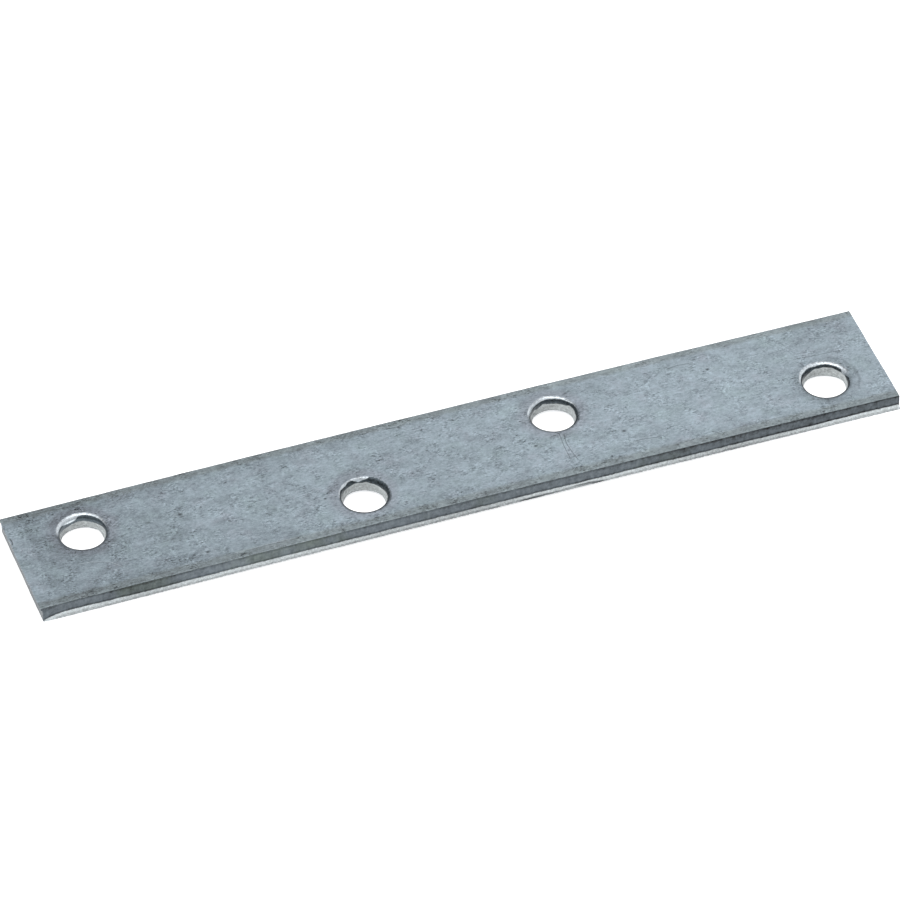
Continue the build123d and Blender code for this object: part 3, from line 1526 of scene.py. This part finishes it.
class Ground:
    """A material's tree, with the places in millimetres that its patterns read."""

    def __init__(self, bench: Bench) -> None:
        """Add the nodes that tell the place.

        Args:
            bench: The material's tree.
        """
        self.bench = bench
        self.spot = bench.stretched(bench.add("ShaderNodeTexCoord", None, None, "Object"), (1 / MM,) * 3)
        self.along, self.across = bench.part(self.spot, "X"), bench.part(self.spot, "Y")
        self.share = (self.along + 50.0) / 100.0  # from 0 at the plate's left end to 1 at its right


@dataclass(frozen=True)
class ZincCoat:
    """Satin zinc over rolled steel: dark on burnished walls, deepened there by a painted dark reflection, a
    painted highlight on one side of the holes' lips and painted shade on the other, pale where torn.
    """

    TEXTURE = Grain(0.75, 6.0, 0.86, (0.75, 1.25, 1.0))
    PATCHES = Grain(1.0, 3.0, 0.6, (0.1, 0.28, 0.3))
    TINT = Grain(0.35, 4.0, 0.7, step=(5.0, 40.0, 0.0))
    FINE_GRAIN = Grain(3.4, 3.0, 0.75, (1.0, 1.4, 1.0))
    HANDLED = Grain(0.6, 3.0, 0.6, step=(3.0, 17.0, 9.0))
    DASHES = Grain(1.0, 3.0, 0.7, (1.5, 7.0, 1.0))
    FLECKS = Grain(1.2, 3.0, 0.7, (1.6, 4.5, 1.0), (31.0, 7.0, 3.0))
    EDGE_SWAY = Grain(0.9, 3.0, 0.6)
    END_SWAY = Grain(0.5, 4.0, 0.65)
    STROKES = Grain(1.0, 4.0, 0.75, (2.2, 2.2, 1.0))
    BLOTCH = Grain(2.9, 4.0, 0.8)
    RAGGED = Grain(4.0, 4.0, 0.7)
    OLIVE_PLACES = Grain(0.4, 3.0)
    MOTTLE = Grain(1.7, 4.0, 0.75)
    LIP_SWAY = Grain(5.0, 3.0, 0.7)
    GRIT = Grain(3.6, 5.0, 0.85)
    LAYERS = Grain(1.0, 3.0, 0.65, (0.6, 0.6, 5.0))
    SKIN = Grain(9.0, 5.0, 0.75)

    zinc: Colour = (0.31, 0.373, 0.42, 1.0)
    dull_zinc: Colour = (0.275, 0.315, 0.322, 1.0)
    teal_zinc: Colour = (0.3, 0.375, 0.4, 1.0)
    warm_zinc: Colour = (0.325, 0.352, 0.405, 1.0)
    # the burnished lands' colours, outside and in the holes: the steel's own darker burnish, deepened by a
    # painted dark reflection
    burnished: Colour = (0.118, 0.14, 0.158, 1.0)
    olive: Colour = (0.098, 0.12, 0.112, 1.0)
    bore_land: Colour = (0.064, 0.08, 0.092, 1.0)
    # painted highlight: the light that a lip's rolled mouth reflects, put into its colour
    painted_lip_highlight: Colour = (0.6, 0.655, 0.7, 1.0)
    torn: Colour = (0.6, 0.64, 0.655, 1.0)
    bore_torn: Colour = (0.45, 0.475, 0.48, 1.0)
    # the dark of the dents, the scratches and the burr's crack
    mark_dark: Colour = (0.06, 0.07, 0.075, 1.0)
    wall_tone: tuple[Point, ...] = (
        (0.0, 0.45), (0.06, 0.44), (0.1, 0.38), (0.14, 0.43), (0.2, 0.58), (0.3, 0.54), (0.36, 0.49),
        (0.5, 0.46), (0.66, 0.45), (0.72, 0.39), (0.8, 0.37), (0.9, 0.34), (1.0, 0.34),
    )  # of the burnished long walls from left to right; 0.5 is plain
    wall_olive: tuple[Point, ...] = (
        (0.0, 0.0), (0.07, 0.1), (0.09, 0.6), (0.14, 0.6), (0.18, 0.1), (0.24, 0.6), (0.33, 0.55),
        (0.38, 0.1), (0.5, 0.3), (0.64, 0.0), (0.7, 0.4), (0.8, 0.1), (1.0, 0.1),
    )  # how olive the burnished long walls are
    torn_tone: tuple[Point, ...] = (
        (0.0, 0.56), (0.06, 0.54), (0.12, 0.47), (0.2, 0.55), (0.3, 0.52), (0.46, 0.42), (0.52, 0.42),
        (0.62, 0.55), (0.72, 0.5), (0.8, 0.39), (0.88, 0.48), (0.94, 0.56), (1.0, 0.56),
    )  # of the torn long walls
    metal: float = 0.8
    roughness: float = 0.42
    long_edge_dark: float = 0.13
    far_edge_dark: float = 0.07
    near_edge_dark: float = 0.05
    smudge_dark: float = 0.11
    halo_dark: float = 0.12  # round each hole
    last_halo_dark: float = 0.11  # more round the last hole
    rubbed_pale: float = 0.18  # along the left end
    mark_cover: float = 0.92
    lip_cover: float = 0.35
    smudge_place: float = 44.5  # millimetres along the plate
    torn_rough: float = 0.3
    texture_rough: float = 0.3
    patch_rough: float = 0.15
    land_smooth: float = 0.06
    texture_height: float = 0.05  # millimetres, as the other heights are
    fine_height: float = 0.02
    torn_height: float = 0.3
    bump_strength: float = 0.5
    past_first_hole: Point = (-38.0, -30.0)  # millimetres along the plate
    at_last_hole: Point = (36.0, 40.0)  # millimetres along the plate

    def coat(self, ground: Ground, texture: Term, patches: Term) -> Term:
        """Colour the flat faces.

        Args:
            ground: The material's tree and places.
            texture: The coat's coarse texture.
            patches: Its broad patches.

        Returns:
            The colour.
        """
        bench, along = ground.bench, ground.along
        mark = bench.attribute("mark")
        edge_sway = self.EDGE_SWAY.stray(ground) * 0.7
        long_edge = (ground.across.absolute() + edge_sway).ramp(6.2, 6.75)
        halo = (bench.attribute("rim") + edge_sway * 0.5).ramp(0.7, 2.0, 1.0, 0.0)
        at_last = along.ramp(*self.at_last_hole)

        tone = self._crystals(ground, texture) + (patches - NOISE_MEAN) * 0.3 + self._edges_and_light_slope(ground, texture)
        tone = tone - long_edge * self.long_edge_dark
        tone = tone - halo * (self.halo_dark + at_last * self.last_halo_dark)

        tint = self.TINT.read(ground)
        base = bench.colours(tint.ramp(0.48, 0.72) * 0.6, self.zinc, self.teal_zinc)
        base = bench.colours((1.0 - tint).ramp(0.5, 0.74) * 0.45, base, self.warm_zinc)
        base = bench.colours(long_edge * 0.6, base, self.dull_zinc)
        base = bench.colours(halo * (0.55 - at_last * 0.45), base, self.warm_zinc)
        colour = bench.toned(base, tone)
        colour = bench.colours(mark.at_least(0.0) * self.mark_cover, colour, self.mark_dark)
        return bench.colours(mark.negative().at_least(0.0) * self.lip_cover, colour, self.torn)

    def _crystals(self, ground: Ground, texture: Term) -> Term:
        """Tone the coat's own grain: dark dashes along the rolling, pale flecks and sharp little flakes.

        Args:
            ground: The material's tree and places.
            texture: The coat's coarse texture.

        Returns:
            The tone, about 1.
        """
        bench = ground.bench
        handled = self.HANDLED.read(ground).ramp(0.42, 0.66)
        dashes = self.DASHES.read(ground).ramp(0.54, 0.68)
        flecks = self.FLECKS.read(ground).ramp(0.56, 0.72)
        flake_place = bench.moved(bench.stretched(ground.spot, (1.0, 1.8, 1.0)), bench.grey(texture * 1.6))
        flakes = bench.cells(flake_place, 2.2)
        tone = 1.06 + (texture - NOISE_MEAN) * 1.45 + self.FINE_GRAIN.stray(ground) * (handled * 1.6 + 0.9)
        tone = tone - dashes * (handled * 0.42 + 0.16) + flecks * (handled * 0.16 + 0.1)
        tone = tone - flakes.ramp(0.78, 0.8) * (handled * 0.16 + 0.03)
        return tone + flakes.ramp(0.18, 0.2, 1.0, 0.0) * 0.05

    def _edges_and_light_slope(self, ground: Ground, texture: Term) -> Term:
        """Tone the coat: a rubbed left end, darker long edges, a smudge and a painted light gradient, darker
        towards the left end and lighter towards the right.

        Args:
            ground: The material's tree and places.
            texture: The coat's coarse texture.

        Returns:
            What is added to the tone.
        """
        along, across = ground.along, ground.across
        leftwards, nearwards = along.negative(), across.negative()
        rubbed = (leftwards + self.END_SWAY.stray(ground) * 1.2).ramp(47.7, 48.1)
        far_edge = across.ramp(4.2, 6.2) * (1.0 - along.ramp(6.0, 18.0)) * self.far_edge_dark
        near_edge = nearwards.ramp(4.2, 6.2) * (along.ramp(-20.0, 10.0) * 0.03 + self.near_edge_dark)
        smudge = (along - self.smudge_place + (texture - NOISE_MEAN) * 6.0).absolute()
        smudge = smudge.ramp(1.6, 3.4, 1.0, 0.0) * across.ramp(3.2, 5.4) * self.smudge_dark
        # painted light gradient: lighter towards the right, darker towards the left end
        painted_light_slope = (along * 0.0016).at_most(0.04) - (leftwards - 24.0).at_least(0.0) * 0.009
        return rubbed * self.rubbed_pale - far_edge - near_edge - smudge + painted_light_slope

    def walls(self, ground: Ground, coat: Term) -> tuple[Term, Term, Term]:
        """Colour the cut walls over the coat.

        Args:
            ground: The material's tree and places.
            coat: The flat faces' colour.

        Returns:
            The colour, and how much of the surface is burnished and how much torn.
        """
        bench = ground.bench
        wall, torn, bore = (bench.attribute(name) for name in ("wall", "torn", "bore"))
        strokes, blotch = self.STROKES.stray(ground), self.BLOTCH.stray(ground)
        fracture = (torn + self.RAGGED.stray(ground) * 0.14).ramp(-0.02, 0.06)
        in_hole = (wall + strokes * 0.1).ramp(0.05, 0.16)
        land = bore * in_hole + (1.0 - bore) * (wall + strokes * 0.35).ramp(0.35, 0.75)
        outer = self._burnished_wall(ground, strokes, torn)
        inner = self._bore_wall(ground, blotch, wall, coat)
        colour = bench.colours(land, coat, bench.colours(bore, outer, inner))
        pale = self._torn_wall(ground, blotch, torn, bore)
        return bench.colours(fracture * land, colour, pale), land, fracture * land

    def _burnished_wall(self, ground: Ground, strokes: Term, torn: Term) -> Term:
        """Colour the outer walls' burnished land, darkened by a painted dark reflection and a painted shadow
        under its top edge.

        Args:
            ground: The material's tree and places.
            strokes: The upright streaks that the blade left.
            torn: Millimetres past the land's end.

        Returns:
            The colour.
        """
        bench = ground.bench
        # tone of the burnished land's painted dark reflection along the plate, read from the table
        along_swing = bench.profile(ground.share, self.wall_tone) - 0.5
        olive = bench.profile(ground.share, self.wall_olive) + self.OLIVE_PLACES.stray(ground)
        tone = 1.0 + strokes * 1.1 + self.MOTTLE.stray(ground) * 1.4 + along_swing * 2.0
        # painted shadow under the top edge, from about 10 mm right of the middle onwards
        tone = tone - ground.along.ramp(10.0, 26.0) * torn.ramp(-0.95, -0.5, 1.0, 0.0) * 0.12
        # darker towards the land's end, and painted shade over the wall's rolled top
        tone = tone - torn.ramp(-0.34, -0.12) * 0.42 - torn.ramp(-1.2, -0.95, 1.0, 0.0) * 0.33
        return bench.toned(bench.colours(olive.ramp(0.2, 0.8), self.burnished, self.olive), tone)

    def _bore_wall(self, ground: Ground, blotch: Term, wall: Term, coat: Term) -> Term:
        """Colour a hole's mouth, with a painted highlight on one side and the coat in painted shade on the
        other, and its dark land, painted dark for the dark that it reflects.

        Args:
            ground: The material's tree and places.
            blotch: Small stains.
            wall: How much the surface is wall.
            coat: The flat faces' colour.

        Returns:
            The colour.
        """
        bench, along = ground.bench, ground.along
        polish, shaded, side = (bench.attribute(name) for name in ("polish", "shade", "side"))
        lip = (polish + self.LIP_SWAY.stray(ground) * 0.12).ramp(-0.03, 0.03)
        # painted highlight on the lip, dimmer towards the hole's right and at the very top of the mouth
        bright = bench.toned(self.painted_lip_highlight, 0.66 - side * 0.25 + blotch * 2.2 + wall.ramp(0.15, 0.4) * 0.5)
        # painted dark reflection: the burnished land inside a hole toned dark, darker past the first hole
        dark = bench.toned(self.bore_land, 1.45 + blotch * 3.6 - along.ramp(*self.past_first_hole) * 0.6)
        # painted shade: the coat toned darker on the mouth's shaded side, less so round the last hole
        shaded_rim = bench.toned(coat, 0.66 + blotch * 0.8 + along.ramp(*self.at_last_hole) * 0.22)
        return bench.colours(lip, dark, bench.colours(shaded, bright, shaded_rim))

    def _torn_wall(self, ground: Ground, blotch: Term, torn: Term, bore: Term) -> Term:
        """Colour the torn walls, which lie in layers inside a hole.

        Args:
            ground: The material's tree and places.
            blotch: Small stains.
            torn: Millimetres past the land's end.
            bore: 1 in a hole.

        Returns:
            The colour.
        """
        bench = ground.bench
        grit = self.GRIT.read(ground)
        top_band = torn.ramp(0.02, 0.1) - torn.ramp(0.18, 0.4)
        # tone of the long torn walls along the plate, from the table, darker towards their bottom
        torn_swing = (bench.profile(ground.share, self.torn_tone) - 0.5) * 2.0 - torn.ramp(0.28, 0.42) * 0.3
        tone = 1.08 + (grit - NOISE_MEAN) * 2.0 + grit.ramp(0.6, 0.74) * 0.25 + torn_swing * (1.0 - bore)
        layers = self.LAYERS.stray(ground)
        in_hole = blotch * 1.2 + layers * 1.1 + bench.attribute("side") * 0.2 + top_band * 0.12
        pale = bench.toned(bench.colours(bore, self.torn, self.bore_torn), tone + in_hole * bore)
        return bench.colours(bench.attribute("mark").at_least(0.0), pale, self.mark_dark)

    def material(self) -> bpy.types.Material:
        """Build the material.

        Returns:
            The finish, ready for the plate.
        """
        material = bpy.data.materials.new("zinc_coat")
        bench = Bench.cleared(material)
        ground = Ground(bench)
        texture, patches = self.TEXTURE.read(ground), self.PATCHES.read(ground)
        colour, land, fracture = self.walls(ground, self.coat(ground, texture, patches))

        rough = self.roughness + fracture * self.torn_rough + (texture - NOISE_MEAN) * self.texture_rough
        rough = rough + (patches - NOISE_MEAN) * self.patch_rough - land * self.land_smooth
        fine = self.SKIN.read(ground)
        height = texture * self.texture_height + fine * self.fine_height + fracture * fine * self.torn_height
        settings = {"Strength": self.bump_strength, "Distance": MM, "Height": height}
        bump = bench.add("ShaderNodeBump", None, settings, "Normal")
        settings = {"Base Color": colour, "Metallic": self.metal, "Roughness": rough, "Normal": bump}
        skin = bench.add("ShaderNodeBsdfPrincipled", None, settings)
        bench.add("ShaderNodeOutputMaterial", None, {"Surface": skin})
        return material


# --------------------------------------------------------------------------------------------------
# Studio
# --------------------------------------------------------------------------------------------------


@dataclass(frozen=True)
class Lamp:
    """A square soft lamp that points at the plate."""

    name: str
    place: Point3
    size: float
    watts: float
    aim_step: Point3 = (0.0, 0.0, 0.0)  # from the middle of the plate to what it points at

    def hang(self, target: Vector) -> None:
        """Put the lamp in its place.

        Args:
            target: The middle of the plate.
        """
        data = bpy.data.lights.new(self.name, "AREA")
        data.shape = "SQUARE"
        data.size = self.size
        data.energy = self.watts
        lamp = shown(self.name, data)
        lamp.location = self.place
        lamp.rotation_mode = "QUATERNION"
        aim = target + Vector(self.aim_step)
        lamp.rotation_quaternion = (aim - Vector(self.place)).to_track_quat("-Z", "Y")


@dataclass(frozen=True)
class Studio:
    """Camera, floor and light."""

    azimuth: float = -19.95
    elevation: float = 43.2
    roll: float = 0.1
    distance: float = 0.86
    lens: float = 312.8
    sensor: float = 36.0
    clip: Point = (0.01, 20.0)
    aim_right: float = -0.322 * MM
    aim_up: float = 0.736 * MM
    floor_reach: float = 3.0
    paper: Colour = (0.8, 0.8, 0.8, 1.0)
    paper_glow: float = 0.7
    air: Colour = (1.0, 1.0, 1.0, 1.0)
    air_strength: float = 0.65
    lamps: tuple[Lamp, ...] = (
        Lamp("overhead_lamp", (-0.1, 0.1, 1.2), 0.9, 7.0),
        Lamp("right_lamp", (0.26, 0.2, 0.26), 0.25, 0.1, (0.04, 0.0, 0.0)),
    )

    def camera(self, target: Vector) -> None:
        """Place the camera.

        Args:
            target: The point that the camera turns about.
        """
        turn, rise = math.radians(self.azimuth), math.radians(self.elevation)
        back = Vector((math.sin(turn) * math.cos(rise), -math.cos(turn) * math.cos(rise), math.sin(rise)))
        right = Vector((math.cos(turn), math.sin(turn), 0.0))
        up = back.cross(right)
        data = bpy.data.cameras.new("camera")
        data.lens = self.lens
        data.sensor_width = self.sensor
        data.clip_start, data.clip_end = self.clip
        camera = shown("camera", data)
        camera.rotation_mode = "QUATERNION"
        spin = Quaternion(back, math.radians(self.roll))
        right, up = spin @ right, spin @ up
        camera.location = target + back * self.distance + right * self.aim_right + up * self.aim_up
        camera.rotation_quaternion = Matrix((right, up, back)).transposed().to_quaternion()
        bpy.context.scene.camera = camera

    def floor(self, level: float) -> None:
        """Lay the floor that the plate lies on.

        Args:
            level: Height of the floor.
        """
        mesh = bpy.data.meshes.new("floor")
        reach = self.floor_reach
        corners = [(x * reach, y * reach, level) for x, y in ((-1, -1), (1, -1), (1, 1), (-1, 1))]
        mesh.from_pydata(corners, [], [(0, 1, 2, 3)])
        material = bpy.data.materials.new("floor_paper")
        bench = Bench.cleared(material)
        paper = bench.add("ShaderNodeBsdfDiffuse", None, {"Color": self.paper})
        seen, glossy, passed = (
            bench.add("ShaderNodeLightPath", None, None, ray)
            for ray in ("Is Camera Ray", "Is Glossy Ray", "Is Transmission Ray")
        )
        lit = (seen + glossy + passed).at_most(1.0)
        glow = bench.add("ShaderNodeEmission", None, {"Strength": lit * self.paper_glow})
        both = bench.add("ShaderNodeAddShader", None, {0: paper, 1: glow})
        bench.add("ShaderNodeOutputMaterial", None, {"Surface": both})
        mesh.materials.append(material)
        shown("floor", mesh)

    def light(self, target: Vector) -> None:
        """Hang the lamps and set the world.

        Args:
            target: The middle of the plate.
        """
        for lamp in self.lamps:
            lamp.hang(target)
        world = bpy.data.worlds.new("studio_air")
        bench = Bench.cleared(world)
        air = bench.add("ShaderNodeBackground", None, {"Color": self.air, "Strength": self.air_strength})
        bench.add("ShaderNodeOutputWorld", None, {"Surface": air})
        bpy.context.scene.world = world


def main() -> None:
    """Build the scene in order: camera, plate, floor, light."""
    logging.basicConfig(level=logging.INFO, format="%(name)s: %(message)s")
    low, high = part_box(CAD_NODE)
    target = Vector(((low.x + high.x) / 2, (low.y + high.y) / 2, high.z))
    studio = Studio()
    studio.camera(target)
    bores = [m for m in frame["record"]["mounts"] if m["kind"] == "bore"]
    holes = [((m["pos_m"][0], m["pos_m"][1]), m["dims"]["r_mm"] * MM) for m in bores]
    plate = MendingPlate(low, high, holes).build(ZincCoat().material())
    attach(plate, "root")
    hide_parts(CAD_NODE)
    log.info("%s: %d holes, finished", plate.name, len(holes))
    studio.floor(low.z)
    studio.light(target)
    bpy.context.scene.view_settings.view_transform = "Standard"


if __name__ == "__main__":
    main()
